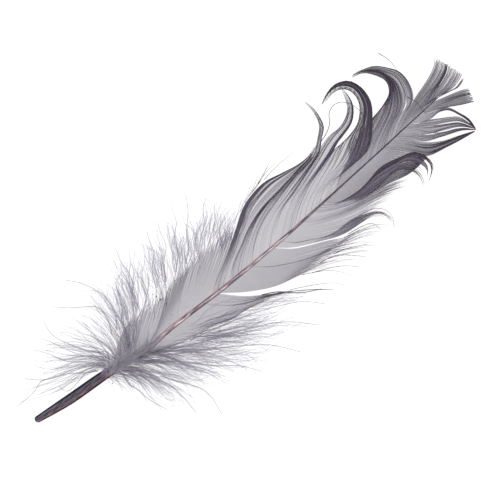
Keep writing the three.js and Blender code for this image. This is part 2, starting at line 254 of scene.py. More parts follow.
horn, nodes, links, shader = new_material("horn", 0.45)
shader.inputs["Specular IOR Level"].default_value = 0.03
place = nodes.new("ShaderNodeTexCoord")
parted = nodes.new("ShaderNodeSeparateXYZ")
links.new(place.outputs["Object"], parted.inputs[0])
shaft_ends = (-MIDDLE[0] * MM, (SHAFT_LINE[-1][0] - MIDDLE[0]) * MM)
length_share = ranged(nodes, links, parted.outputs["X"], shaft_ends)
side_share = point_value(nodes, "across")
blended = coloured(nodes, links, side_share, QUILL_COLOURS_AND_RIM_SHADE)
for colours, begins in ((SHAFT_COLOURS_AND_RIM_SHADE, SHAFT_BEGINS), (TIP_COLOURS, TIP_BEGINS)):
    mix = nodes.new("ShaderNodeMix")
    mix.data_type = "RGBA"
    links.new(ranged(nodes, links, length_share, begins), mix.inputs["Factor"])
    links.new(blended, mix.inputs["A"])
    links.new(coloured(nodes, links, side_share, colours), mix.inputs["B"])
    blended = mix.outputs["Result"]
stretch = nodes.new("ShaderNodeMapping")
stretch.inputs["Scale"].default_value = STREAK_SCALE
links.new(place.outputs["Object"], stretch.inputs["Vector"])
grain = nodes.new("ShaderNodeTexNoise")
grain.inputs["Scale"].default_value = 1
grain.inputs["Detail"].default_value = 3
links.new(stretch.outputs[0], grain.inputs["Vector"])
strength = ranged(nodes, links, grain.outputs["Fac"], STREAK_NOISE, STREAK_STRENGTH)
streaks = nodes.new("ShaderNodeVectorMath")
streaks.operation = "SCALE"
links.new(blended, streaks.inputs[0])
links.new(strength, streaks.inputs["Scale"])
links.new(streaks.outputs[0], shader.inputs["Base Color"])
shaft.data.materials.append(horn)
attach(shaft, "root")
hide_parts("feather")


# ---- Vane -----------------------------------------------------------------
# Two rows of flat horn barbs, each a thin strip that grows from the side of the
# shaft. They hook together in locks, and near the tip the locks are curled up.

# A lock grows from a stretch of the shaft, between its lower and upper edge, and
# rises to the heights along it. Lean is how much higher the upper edge stands.
# A bundle draws barbs together: its place across the lock, half its spread and
# its share of the barbs, and it darkens over a part of their length. Depth is
# how closed and dark the lock is, and streak how much its barbs differ in that:
# the closing lets less light through, and the darker tone that comes with it is
# painted shade of the stacked barbs. Turned pairs a place across the lock with
# where its barbs would go on edge; they stay flat, and past it they close up and
# darken in painted shade. Cling pulls neighbours together, blunt is how wide a
# barb ends, and crown how far the lock bulges. Past the hem the barbs are loose,
# and fray shortens some of them.
LEFT_LOCKS = [
    {
        "grows": (30, 42.5),
        "lower": [(32.6, -0.4), (35.8, 2.3), (40.2, 5), (45.8, 7.6)],
        "upper": [(50, -1.2), (57, 3.6), (64.8, 10.2)],
        "heights": (4.7, 4.4, 4, 3.4),
        "depth": (0.12, 0.18, 0.22, 0.2), "crown": 0.015, "hem": 0.82, "fray": 0.28,
    },
    {
        "grows": (42.5, 56.5),
        "lower": [(50, -1), (57, 3.8), (64.8, 10.4)],
        "upper": [(61.5, 1.3), (68, 6.1), (75.8, 10.8)],
        "heights": (4.8, 4.4, 3.9, 3.3),
        "depth": (0.18, 0.25, 0.27, 0.2), "crown": 0.015, "hem": 0.88, "fray": 0.2,
    },
    {
        "grows": (56.5, 70.5),
        "lower": [(61.5, 1.4), (68, 6.2), (76.4, 11)],
        "upper": [(75, -1.3), (82, 2.4), (88.5, 6.4), (94.5, 11)],
        "heights": (5, 4.5, 3.9, 3.2),
        "depth": (0.14, 0.19, 0.2, 0.16), "crown": 0.015, "hem": 0.9, "fray": 0.16,
    },
    {
        "grows": (70.5, 78),
        "lower": [(75, -1), (82, 2.8), (89.5, 7.5), (97.5, 12.5), (106.5, 14.3), (113.5, 13.1),
                  (119, 12), (124, 11.9), (128.3, 13.4)],
        "upper": [(82.5, -0.8), (88, 2.2), (94.5, 5.6), (101.5, 7.8), (110, 8.9), (118.5, 10.2),
                  (124, 11), (128.8, 12.9)],
        "heights": (5.9, 4.8, 4.6, 5),
        "lean": (0, -0.5, -1.5, -1.5),
        "bundles": [(0.06, 0.055, 0.45), (0.33, 0.04, 0.15)],
        "darkens": (0.1, 0.3), "depth": (0.12, 0.18, 0.35, 0.8), "streak": 0.12,
    },
    {
        "grows": (78, 87.5),
        "lower": [(82.5, -0.4), (88, 2.6), (94.5, 6), (101.5, 8.2), (110, 9.3), (118.5, 10.6),
                  (124.5, 11.6), (129, 13.4)],
        "upper": [(92, 0), (98.5, 4), (106, 6.6), (115.5, 9), (123, 10.2), (129.5, 13.6)],
        "heights": (5.3, 4.6, 5.2, 6.8),
        "lean": (0, 0.5, 1.5, 2),
        "bundles": [(0.04, 0.035, 0.3), (0.35, 0.04, 0.07)],
        "darkens": (0.15, 0.55), "depth": (0.14, 0.14, 0.28, 0.75), "streak": 0.14,
    },
    {
        "grows": (87.5, 96),
        "lower": [(92, 0.5), (98.5, 4.5), (106, 7), (115.5, 9.5), (125, 11), (130, 14.5),
                  (133.5, 18), (134.5, 23.5), (133.5, 27)],
        "upper": [(101, 0), (107, 3.6), (114, 5.6), (121.5, 8.1), (127.5, 10.3), (131, 13.5),
                  (134.3, 16.5), (135.3, 22), (134.5, 26.5)],
        "heights": (5.2, 5, 7.4, 10.5),
        "lean": (0, 0.5, 3, 2),
        "bundles": [(0.9, 0.08, 0.25), (0.3, 0.1, 0.07)],
        "darkens": (0.2, 0.65), "depth": (0.04, 0.08, 0.38, 1), "streak": 0.18,
        "blunt": 0.4,
    },
    {
        "grows": (96, 105.5),
        "lower": [(101.3, 0.3), (107, 4), (114, 6), (121, 8.5), (127, 10.9), (132.9, 12.8),
                  (138, 12.9), (141.6, 14.2), (144.2, 16.4), (145.7, 20.3), (146.3, 22.3)],
        "upper": [(111.3, 0.4), (118.5, 4), (127, 6.6), (131.5, 8), (134.5, 9.3), (137.4, 10),
                  (141.9, 11.4), (145, 14.1), (146.5, 17.1), (146.8, 20.7), (146.6, 22.6)],
        "heights": (5.3, 5, 7.2, 10.5),
        "lean": (0, 0.5, 3, 2.5),
        "bundles": [(0.9, 0.08, 0.25), (0.3, 0.1, 0.07)],
        "darkens": (0.2, 0.65), "depth": (0.06, 0.1, 0.35, 0.95), "streak": 0.2,
        "blunt": 0.4,
    },
    {
        "grows": (105.5, 124),
        "lower": [(111.3, 0.7), (118.5, 4.3), (127, 6.9), (132, 8.3), (136, 8.3), (141.7, 9.1),
                  (145.8, 11.8), (148.1, 14.9), (148.6, 18.8), (147, 21.9), (143.5, 23),
                  (139.6, 22.2)],
        "upper": [(128.6, 0.1), (134.9, 0.4), (140, 0.8), (144, 3), (148, 7.4), (151.3, 12.3),
                  (152.1, 16.8), (151.2, 20.9), (149.1, 23.6), (145.1, 24.9), (141, 24),
                  (137.5, 22.2)],
        "heights": (5.4, 6.2, 9.6, 13),
        "lean": (0, 0.5, 4, 3),
        "bundles": [(0.82, 0.16, 0.25), (0.06, 0.05, 0.08)],
        "darkens": (0.2, 0.6), "depth": (0.05, 0.08, 0.06, 0.3),
        "turned": [(0, 0.68), (0.25, 0.54), (0.47, 0.4), (0.75, 0.24), (0.9, 0.1), (1, 0.3)],
        "streak": 0.75, "blunt": 0.4, "cling": 0.5,
    },
    {
        "grows": (124, 148.5),
        "lower": [(128.2, 0.3), (133.8, 2.9), (137.1, 5), (140.7, 6.6), (148.5, 8.5),
                  (155.5, 9.5), (158.5, 12), (159.5, 15.5), (157.5, 19.5), (155, 22), (151, 23)],
        "upper": [(151.8, 1.2), (155.7, 3.3), (159.2, 4.7), (161.3, 6.7), (162.9, 10.3),
                  (163, 14.3), (161.2, 17.8), (159, 20.7), (156, 22.5), (152, 23.8)],
        "heights": (3.8, 4.4, 8.2, 11.5),
        "lean": (0, 0.5, 3, 3),
        "bundles": [(0.72, 0.16, 0.25)],
        "darkens": (0.3, 0.7), "depth": (0.38, 0.43, 0.3, 0.55), "blunt": 0.35,
        "streak": 0.2, "cling": 0.2,
    },
    {
        "grows": (148.5, 151.5),
        "lower": [(152, 1.5), (156, 3.6), (159.5, 4.4), (161.4, 6.8), (162.8, 10.4),
                  (163, 14.2), (161.2, 17.7), (159, 20.6), (156, 22.4), (152, 23.8)],
        "upper": [(155, 1), (158.5, 2.5), (162.5, 4.5), (164.5, 7), (165.5, 11), (165, 15),
                  (162.5, 18.5), (159.5, 21.5), (156.5, 22.7), (152.5, 24)],
        "heights": (3.6, 4.6, 8.4, 11.7),
        "lean": (0, 0.3, 1.5, 2),
        "bundles": [(0.9, 0.08, 0.35)],
        "depth": (0.3, 0.42, 0.55, 0.7), "streak": 0.32,
    },
    {
        "grows": (151.5, 168.5),
        "lower": [(155, 1), (159.5, 3), (164, 5), (168.2, 6.3), (172.4, 7.8), (175.5, 9.5),
                  (177.6, 11.6)],
        "upper": [(170.5, 0.6), (173, 0), (176.5, -0.3), (179.2, 0.4), (181.2, 1.3)],
        "heights": (2.4, 1.6, 0.9, 0.35),
        "bundles": [(0.43, 0.03, 0.1)],
        "darkens": (0.5, 0.8), "depth": (0.48, 0.54, 0.52, 0.5), "streak": 0.08,
        "blunt": 0.8, "cling": 0.12,
    },
    {
        "grows": (168.5, 170.5),
        "lower": [(171.5, 0.3), (173.5, -0.1), (176.5, -0.7), (179.3, -0.1), (180.7, 0.5)],
        "upper": [(172.5, -0.3), (174.5, -0.7), (177.4, -1.3), (179.9, -0.6), (181, 0)],
        "heights": (1.6, 1.1, 0.7, 0.35),
        "depth": (0.55, 0.58, 0.6, 0.6),
    },
]
RIGHT_LOCKS = [
    {
        "grows": (30, 44.5),
        "lower": [(34, -4.3), (38, -5.8), (42.1, -7.3)],
        "upper": [(48.5, -7.6), (52.5, -9.6), (57.5, -11.3)],
        "heights": (4.5, 4, 3.4, 2.8),
        "depth": (0.2, 0.2, 0.15, 0.1), "hem": 0.7, "fray": 0.3,
    },
    {
        "grows": (44.5, 57.5),
        "lower": [(48.5, -8), (52.5, -10), (57.5, -11.5)],
        "upper": [(62.6, -9.6), (68.3, -13), (76, -14.6)],
        "heights": (4.6, 3.8, 3, 2.6),
        "depth": (0.15, 0.15, 0.1, 0.05), "hem": 0.7, "fray": 0.2,
    },
    {
        "grows": (57.5, 72.5),
        "lower": [(63, -10), (69.5, -14), (78, -15), (84.5, -18.5), (92, -24)],
        "upper": [(78.5, -10.5), (85.5, -15.3), (94, -20.5), (102.5, -26.5)],
        "heights": (4.8, 3.4, 2.3, 1.6),
        "bundles": [(0.96, 0.04, 0.12)],
        "depth": (0.14, 0.16, 0.16, 0.12), "hem": 0.6,
    },
    {
        "grows": (72.5, 86.5),
        "lower": [(80, -10), (88.5, -14.6), (97.5, -17), (103.5, -19), (112, -23), (118, -27)],
        "upper": [(92, -8.7), (99.5, -12.7), (106, -15.1), (113, -17.1), (121.5, -21.5), (128, -27)],
        "heights": (5, 3.7, 2.7, 2),
        "depth": (0.2, 0.24, 0.26, 0.24), "hem": 0.68,
    },
    {
        "grows": (86.5, 96),
        "lower": [(92, -9), (99.5, -13), (106, -15.5), (113, -17.5), (122.5, -20.5), (128, -25)],
        "upper": [(102, -9.2), (111.5, -13.6), (117.5, -16.7), (123, -17.7), (128.5, -19.5),
                  (133, -24)],
        "heights": (5.2, 4, 3, 2.5),
        "depth": (0.18, 0.22, 0.26, 0.24), "hem": 0.66,
    },
    {
        "grows": (96, 99.5),
        "lower": [(102, -8.7), (110.5, -12.8), (115, -14.8), (119, -15.8), (124.9, -16.3),
                  (128.8, -16.9), (131.2, -19.2), (131.6, -22), (131.3, -24.5)],
        "upper": [(102.9, -7.3), (107.9, -10), (111.9, -12.1), (116.2, -13.1), (121.1, -13.1),
                  (125.3, -14), (131, -16.7), (132.9, -20.5), (132, -25)],
        "heights": (5.6, 5, 5, 7),
        "lean": (0, 0, 1, 1.5), "depth": (0.1, 0.4, 0.55, 0.45), "streak": 0.15,
        "hem": 0.88,
    },
    {
        "grows": (99.5, 113),
        "lower": [(102.9, -7.7), (107.9, -10.4), (111.9, -12.5), (115, -14.2), (119, -15.2),
                  (124.9, -15.9), (131, -16.6)],
        "upper": [(119.5, -6.8), (127, -9.5), (133.5, -10.6), (142, -12.8), (148.5, -16)],
        "heights": (4.8, 3.6, 2.8, 2.6),
        "bundles": [(0.85, 0.12, 0.15)],
        "darkens": (0.6, 1), "depth": (0.12, 0.14, 0.14, 0.14), "streak": 0.1,
        "hem": 0.84, "fray": 0.15,
    },
    {
        "grows": (113, 118.5),
        "lower": [(119.5, -7), (127, -9.8), (134.5, -10.9), (142, -10), (146.5, -11.5),
                  (148.5, -15), (148, -18.5), (145.5, -21.5)],
        "upper": [(122.6, -6.1), (128.7, -7.2), (133.5, -7), (140.6, -5.7), (147, -7),
                  (152.5, -9), (154.5, -13.5), (153.5, -17), (148, -20.5)],
        "heights": (5, 5, 6.4, 9),
        "lean": (0, 0.5, 2.5, 2),
        "bundles": [(0.08, 0.06, 0.3), (0.93, 0.06, 0.35)],
        "darkens": (0.6, 0.9), "depth": (0.15, 0.18, 0.24, 0.3),
        "turned": [(0, 0.34), (1, 0.11)],
        "streak": 0.16, "hem": 0.76,
    },
    {
        "grows": (118.5, 144.5),
        "lower": [(122.6, -6.5), (128.5, -9.1), (134, -10.9), (139.8, -11.9), (147, -13.5),
                  (155, -13)],
        "upper": [(146, -3), (148.5, -4.5), (152, -9), (155, -12)],
        "heights": (3.9, 3.1, 2.8, 2.9),
        "depth": (0.34, 0.38, 0.42, 0.46),
    },
    {
        "grows": (144.5, 150),
        "lower": [(146, -3), (148.5, -4.6), (152, -9), (155.2, -12.9), (161.4, -14.4), (166.6, -15.4),
                  (172.4, -16.2)],
        "upper": [(153.7, -4.2), (157, -8.2), (162.3, -11.7), (167.9, -13.9), (172.3, -15.8)],
        "heights": (3, 2.4, 2.6, 4),
        "lean": (0, 0, 0.5, 1),
        "bundles": [(0.25, 0.1, 0.2), (0.7, 0.08, 0.2)],
        "depth": (0.36, 0.42, 0.54, 0.9), "streak": 0.36, "cling": 0.5, "blunt": 1,
    },
    {
        "grows": (150, 157),
        "lower": [(153.9, -4.5), (157.2, -8.5), (162.7, -10.9), (168.9, -13.1), (172.5, -15.7)],
        "upper": [(159.5, -2.3), (162, -3), (165.4, -4.8), (169.4, -7.4), (171.6, -9.6),
                  (172.9, -14.5)],
        "heights": (2.8, 2.3, 3, 4.6),
        "lean": (0, 0, 0.8, 1.2),
        "bundles": [(0.12, 0.07, 0.15), (0.55, 0.08, 0.12), (0.93, 0.05, 0.1)],
        "depth": (0.36, 0.42, 0.5, 0.95), "streak": 0.36, "cling": 0.5, "blunt": 1,
    },
    {
        "grows": (157, 162.5),
        "lower": [(160.5, -2.7), (163.7, -3.7), (167, -3.7), (170, -5.2), (171.8, -8.9),
                  (172.7, -12.2), (172.5, -15.8)],
        "upper": [(164, -1.6), (167, -2.7), (170.4, -4.2), (172.3, -8.3), (173.4, -11.8),
                  (173, -16.1)],
        "heights": (2.6, 2.2, 3.4, 5.2),
        "lean": (0, 0, 1, 1.5), "depth": (0.35, 0.54, 0.8, 1), "blunt": 1,
    },
    {
        "grows": (162.5, 168),
        "lower": [(164, -1.5), (167, -2.6), (171, -4.5), (174.5, -6.3), (178.7, -8.3)],
        "upper": [(169.5, -0.3), (173.9, -1.5), (176.9, -2.4), (179.9, -3.7)],
        "heights": (1.6, 1.1, 0.7, 0.35),
        "bundles": [(0.62, 0.04, 0.1), (0.03, 0.03, 0.06)],
        "depth": (0.48, 0.54, 0.54, 0.6), "streak": 0.1, "blunt": 0.8, "cling": 0.12,
    },
]
FLAT = (0, 0, 0, 0)
EDGE_SAMPLES = 200
BARB_SPACING = 0.24  # along the shaft
BARB_POINTS = 30
BARB_LEAST_WIDTH = 0.12
BARB_OVERLAP = 1.12  # its width, for the room between its neighbours
BARB_RIDGE = 0.22  # how high its ridge stands, for its width
BARB_TAPER = 0.12  # share of its length
BARB_END = 0.12  # share of its width
BARB_WANDER = 0.12  # up or down, at its tip
STRAND_WIDTH = 0.22
HAIR_WIDTH = 0.075
LOCK_CROWN = 0.06
BUNDLE_PULL = 0.3  # how far across the lock it draws barbs from
DRAWN_OVER = (0.1, 0.75)  # share of the length in which a barb joins its bundle
STRAND_OVER = (0.1, 0.6)  # share of the length in which it narrows to a strand
DARKENS = (0, 0.45)
STRAND_DEPTH = 0.65
TURNED_DEPTH = 0.4  # painted shade and closing where barbs would turn on edge; they stay flat
NOT_TURNED = [(0, 2), (1, 2)]
RUN_LENGTHS = (4, 12)  # barbs that cling together
SHEET_TONE = 0.85
TONE_CHANGE = 0.1  # from barb to barb, and from run to run
PAINTED_SHADE_FROM = 0.15  # the depth past which the tone falls, in painted shade
PAINTED_SHADE_FALL = 0.95
SHEET_ALPHA = 0.25
STRAND_ALPHA = 0.85
WEB_COLOURS = [(0, (0.08, 0.063, 0.09)), (1, (0.25, 0.21, 0.3))]
VANES = [("vane_left", LEFT_LOCKS, 1, 11), ("vane_right", RIGHT_LOCKS, -1, 12)]


def unit(vectors):
    return vectors / np.maximum(np.linalg.norm(vectors, axis=-1, keepdims=True), 1e-9)


def through(values, shares):
    """A smooth run through values spaced evenly from 0 to 1."""
    knots = [(index / (len(values) - 1) * 100, value) for index, value in enumerate(values)]
    line = smooth_line(knots, EDGE_SAMPLES)
    return np.interp(shares * 100, line[:, 0], line[:, 1])


def ramp_between(start, end, values):
    """Smoothly from 0 at start to 1 at end."""
    share = np.clip((values - start) / (end - start), 0, 1)
    return share * share * (3 - 2 * share)


def strips(paths, across, widths, ridge):
    """Closed three-sided strips along paths, as points and triangles."""
    along = np.gradient(paths, axis=1)
    up = unit(np.cross(across, along))
    half = across * widths[..., None] / 2
    crest = paths + up * (ridge * widths)[..., None]
    rings = np.stack([paths - half, paths + half, crest], axis=2)
    number = np.arange(rings.shape[0] * rings.shape[1] * 3).reshape(rings.shape[:3])
    faces = [number[:, 0, :], number[:, -1, ::-1]]
    for a, b in ((0, 1), (1, 2), (2, 0)):
        here_a, here_b = number[:, :-1, a], number[:, :-1, b]
        next_a, next_b = number[:, 1:, a], number[:, 1:, b]
        faces.append(np.stack([here_a, next_a, next_b], axis=-1).reshape(-1, 3))
        faces.append(np.stack([here_a, next_b, here_b], axis=-1).reshape(-1, 3))
    return rings.reshape(-1, 3), np.vstack(faces)


def barbs_of(lock, side, rng):
    """One lock's barbs: paths, the way across, widths, tones and depths."""
    first, last = lock["grows"]
    count = max(6, round((last - first) / BARB_SPACING))
    lower = smooth_line([shaft_at(first)[:2], *lock["lower"]], EDGE_SAMPLES)
    upper = smooth_line([shaft_at(last)[:2], *lock["upper"]], EDGE_SAMPLES)
    rest = (np.arange(count) + 0.5 + rng.uniform(-0.2, 0.2, count)) / count
    ends = np.cumsum(rng.integers(*RUN_LENGTHS, count))
    run = np.searchsorted(ends, np.arange(count), side="right")
    middles = np.array([rest[run == number].mean() for number in run])
    cling = rng.uniform(0, lock.get("cling", 0.1), count)[run]
    goal = rest.copy()
    free = np.ones(count, dtype=bool)
    for centre, half, share in lock.get("bundles", ()):
        odds = np.exp(-((rest - centre) / BUNDLE_PULL) ** 2) * free
        odds[[0, 1, -2, -1]] = 0
        wanted = max(1, int(share * count))
        taken = np.sort(rng.choice(count, wanted, replace=False, p=odds / odds.sum()))
        goal[taken] = centre + half * np.linspace(-1, 1, taken.size)
        free[taken] = False
    hem = lock.get("hem", 1.2) + rng.normal(0, 0.05, count)
    reach = 1 - lock.get("fray", 0.06) * rng.random(count) ** 2
    reach = np.where(rng.random(count) < 0.5, reach, np.minimum(reach, hem + 0.08))
    t = np.linspace(0, 1, BARB_POINTS)[None, :] * reach[:, None]
    drawn = ramp_between(*DRAWN_OVER, t)
    s = rest[:, None] + (goal - rest)[:, None] * drawn
    open_s = np.vstack([-s[free][:1], s[free], 2 - s[free][-1:]])
    spacing = np.ones_like(s) / count
    spacing[free] = (open_s[2:] - open_s[:-2]) / 2
    evened = np.zeros_like(s)
    evened[free] = (open_s[2:] + open_s[:-2] - 2 * s[free]) / 4
    closer = (middles - rest) * cling * free
    s = s + evened + closer[:, None] * drawn + rng.normal(0, 0.008, count)[:, None] * t**2
    sample = np.linspace(0, 1, EDGE_SAMPLES)
    low = np.stack([np.interp(t, sample, lower[:, axis]) for axis in (0, 1)], axis=-1)
    high = np.stack([np.interp(t, sample, upper[:, axis]) for axis in (0, 1)], axis=-1)
    flat = low * (1 - s[..., None]) + high * s[..., None]
    gap = np.linalg.norm(high - low, axis=-1)
    root = shaft_at([first, last])[:, 2].mean()
    rise = through((root, *lock["heights"]), t)
    lean = through((0, *lock.get("lean", FLAT)), t)
    wander = BARB_WANDER * rng.standard_normal(count)[:, None] * t
    bulge = gap * lock.get("crown", LOCK_CROWN) * (1 - (2 * s - 1) ** 2)
    height = rise + lean * (s - 0.5) + bulge + wander
    paths = np.concatenate([flat, height[..., None]], axis=-1)
    spread = np.concatenate([high - low, lean[..., None]], axis=-1)
    along = unit(np.gradient(paths, axis=1))
    across = spread - np.sum(spread * along, axis=-1, keepdims=True) * along
    apart = np.linalg.norm(across, axis=-1)
    web_width = np.maximum(apart * spacing * BARB_OVERLAP, BARB_LEAST_WIDTH)
    strand_width = HAIR_WIDTH + (STRAND_WIDTH - HAIR_WIDTH) * ramp_between(*STRAND_OVER, t)
    widths = np.where(free[:, None], web_width, strand_width)
    loose = ramp_between(hem[:, None] - 0.12, hem[:, None] + 0.05, t) * free[:, None]
    widths = widths * (1 - loose) + HAIR_WIDTH * loose
    stray = np.cumsum(rng.normal(0, 0.1, (count, BARB_POINTS)), axis=1) * loose
    across = side * unit(across)
    paths = paths + across * stray[..., None]
    taper = np.clip((1 - t / reach[:, None]) / BARB_TAPER, lock.get("blunt", BARB_END), 1)
    depth = lock["depth"]
    depths = through((0.7 * depth[0], *depth), t)
    darkened = ramp_between(*lock.get("darkens", DARKENS), t)
    depths = depths + STRAND_DEPTH * (~free)[:, None] * darkened
    streak = lock.get("streak", 0.03) * rng.standard_normal(count)
    depths = depths + streak[:, None] * ramp_between(0.2, 0.6, t)
    turned = np.interp(rest, *zip(*lock.get("turned", NOT_TURNED)))[:, None]
    depths = depths + TURNED_DEPTH * ramp_between(turned - 0.02, turned + 0.03, t)
    run_tones = TONE_CHANGE * rng.standard_normal(count)[run]
    tones = SHEET_TONE + run_tones + TONE_CHANGE * rng.standard_normal(count)
    # The tone falls with depth: painted shade of bunched, stacked and edge-on barbs.
    tones = np.clip(tones[:, None] - PAINTED_SHADE_FALL * np.maximum(0, depths - PAINTED_SHADE_FROM), 0, 1)
    depths = np.clip(depths, 0, 1)
    return paths, across, widths * taper, tones, depths


def add_mesh(name, points, faces, values):
    """A mesh object from arrays, with numbers kept on its points."""
    mesh = bpy.data.meshes.new(name)
    mesh.vertices.add(len(points))
    mesh.vertices.foreach_set("co", in_metres(points).astype(np.float32).ravel())
    mesh.loops.add(faces.size)
    mesh.loops.foreach_set("vertex_index", faces.astype(np.int32).ravel())
    mesh.polygons.add(len(faces))
    mesh.polygons.foreach_set("loop_start", np.arange(0, faces.size, 3, dtype=np.int32))
    mesh.update(calc_edges=True)
    for title, numbers in values.items():
        layer = mesh.attributes.new(title, "FLOAT", "POINT")
        layer.data.foreach_set("value", numbers.astype(np.float32).ravel())
    made = bpy.data.objects.new(name, mesh)
    bpy.context.scene.collection.objects.link(made)
    return made


# Barbs side by side let light through, and close up where they bundle. Their grey
# also darkens as they close, in painted shade.
web, nodes, links, shader = new_material("vane_web", 0.6)
greys = coloured(nodes, links, point_value(nodes, "tone"), WEB_COLOURS)
links.new(greys, shader.inputs["Base Color"])
alphas = (SHEET_ALPHA, STRAND_ALPHA)
closed = ranged(nodes, links, point_value(nodes, "depth"), (0, 1), alphas)
links.new(closed, shader.inputs["Alpha"])
shader.inputs["Specular IOR Level"].default_value = 0.25
bpy.context.scene.cycles.transparent_max_bounces = 64

for name, locks, side, seed in VANES:
    rng = np.random.default_rng(seed)
    made = [barbs_of(lock, side, rng) for lock in locks]
    paths, across, widths, tones, depths = (np.concatenate(part) for part in zip(*made))
    points, faces = strips(paths, across, widths, BARB_RIDGE)
    values = {"tone": np.repeat(tones.ravel(), 3), "depth": np.repeat(depths.ravel(), 3)}
    vane = add_mesh(name, points, faces, values)
    vane.data.materials.append(web)
    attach(vane, "root")
    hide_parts("feather")


# ---- Down -----------------------------------------------------------------
# Soft barbs that don't hook together stand round the foot of the vane. Each
# is a wavy hair with finer hairs along it, rooted in the sides of the shaft.

DOWN_POINTS = 16
DOWN_WIDTH = 0.16
DOWN_RIDGE = 0.8  # how high its ridge stands, for its width
DOWN_WAVES = ((0.8, 13.0), (0.22, 5.5))  # height and length of each
BARBULE_WIDTH = 0.04
BARBULE_REACH = 2.2
CLUMP_SIZES = (1, 6)  # barbs that wave together
DOWN_ALPHA = 0.42
DOWN_PALER = 60  # how far out down is white
BARBULES_PALER = 0.5
DOWN_COLOURS = [(0, (0.28, 0.26, 0.33)), (1, (0.8, 0.77, 0.87))]
# The barbs of a group root along a stretch of the shaft and end along its reach,
# the shortest at its least share of the way. Hidden is the share that the vane
# covers, for the first and the last barb. Start turn and lift say which way a
# barb sets off, and top how high its tip may stand. Its barbules start past the
# bare share, a step apart.
DOWN_GROUPS = [
    {
        "name": "down_left_foot",
        "side": 1, "count": 130, "roots": (26.5, 38),
        "reach": [(-4, 6.5), (3, 13), (14, 19.5), (27, 24.5), (41, 28), (56, 29), (65, 26.5)],
        "least": 0.55, "hidden": (0, 0), "start_turn": (0.1, 0.9), "lift": (0.1, 0.5),
        "pale": 0.2, "top": 9, "bare": 0.12, "step": 0.5, "seed": 21,
    },
    {
        "name": "down_left_side",
        "side": 1, "count": 200, "roots": (36, 72),
        "reach": [(50, 25), (59, 28), (68, 29), (78, 29.5), (87, 29), (94, 24), (99, 18), (104, 17)],
        "least": 0.5, "hidden": (0.42, 0.6), "start_turn": (0.4, 0.8),
        "lift": (-0.4, -0.15), "pale": 0.32, "top": 2, "bare": 0.2, "step": 0.4,
        "seed": 22,
    },
    {
        "name": "down_right_foot",
        "side": -1, "count": 170, "roots": (26.5, 42),
        "reach": [(33, -16), (40, -25), (48, -33), (58, -34.5), (67, -35), (76, -36.5), (82, -36)],
        "least": 0.4, "hidden": (0, 0), "start_turn": (0.1, 0.7), "lift": (0.1, 0.45),
        "pale": 0.2, "top": 7, "bare": 0.12, "step": 0.5, "seed": 23,
    },
    {
        "name": "down_right_side",
        "side": -1, "count": 110, "roots": (40, 54),
        "reach": [(80, -36), (88, -37), (94, -35), (99, -31), (103, -27)],
        "least": 0.35, "hidden": (0.3, 0.3), "start_turn": (0.4, 0.8),
        "lift": (-0.4, -0.15), "pale": 0.28, "top": 2, "bare": 0.2, "step": 0.6,
        "seed": 24,
    },
]


def down_paths(group, rng):
    """Wavy paths that start along the shaft and bend outwards."""
    count = group["count"]
    side = group["side"]
    ends = np.cumsum(rng.integers(*CLUMP_SIZES, count))
    clump = np.searchsorted(ends, np.arange(count), side="right")
    share = (np.arange(count) + rng.random(count)) / count
    outer = smooth_line(group["reach"], EDGE_SAMPLES)
    sample = np.linspace(0, 1, EDGE_SAMPLES)
    start, end = group["roots"]
    mixed = np.clip(share + rng.normal(0, 0.1, count)[clump] + rng.normal(0, 0.03, count), 0, 1)
    roots = shaft_at(start + (end - start) * mixed)
    roots[:, 1] += side * 0.3 * shaft_width(roots[:, 0])
    tips = np.stack([np.interp(share, sample, outer[:, axis]) for axis in (0, 1)], axis=-1)
    length = 1 - (1 - group["least"]) * (0.6 * rng.random(count)[clump] + 0.4 * rng.random(count))
    tips = roots[:, :2] + (tips - roots[:, :2]) * length[:, None]
    tips = tips + rng.normal(0, 2.2, (count, 2))[clump] + rng.normal(0, 1.5, (count, 2))
    tip_heights = 0.5 + group["top"] * rng.random(count)[clump] ** 1.5
    tips = np.column_stack([tips, tip_heights])
    run = np.linalg.norm((tips - roots)[:, :2], axis=1)
    turn = rng.uniform(*group["start_turn"], count)[clump] + rng.normal(0, 0.06, count)
    near = roots + (0.36 * run * rng.uniform(0.6, 1.1, count))[:, None] * np.column_stack(
        [np.cos(turn), side * np.sin(turn), rng.uniform(*group["lift"], count)])
    way = unit(tips - near)
    sideways = np.column_stack([-way[:, 1], way[:, 0], 0 * turn])
    curl = (rng.normal(0, 0.5, count)[clump] + rng.normal(0, 0.25, count))[:, None]
    far = tips - (0.3 * run)[:, None] * unit(way + sideways * curl)
    far[:, 2] = np.maximum(far[:, 2] + rng.uniform(0, 3, count), 0.6)
    first_hidden, last_hidden = group["hidden"]
    hidden = (first_hidden + (last_hidden - first_hidden) * share)[:, None, None]
    t = hidden + (1 - hidden) * np.linspace(0, 1, DOWN_POINTS)[None, :, None]
    a, b, c, d = (corner[:, None, :] for corner in (roots, near, far, tips))
    paths = a * (1 - t) ** 3 + 3 * b * t * (1 - t) ** 2 + 3 * c * t**2 * (1 - t) + d * t**3
    waves = 0
    for size, pitch in DOWN_WAVES:
        beat = (run / pitch)[:, None] * t[..., 0] * rng.uniform(0.8, 1.2, count)[clump, None]
        start = rng.random(count)[clump] + rng.normal(0, 0.06, count)
        swing = size * rng.uniform(0.3, 1, count)[clump, None]
        waves = waves + swing * np.sin(2 * math.pi * (beat + start[:, None]))
    waves = waves * t[..., 0] ** 0.7
    paths = paths + sideways[:, None, :] * waves[..., None]
    paths[..., 2] += 0.6 * np.roll(waves, 3, axis=1)
    return paths


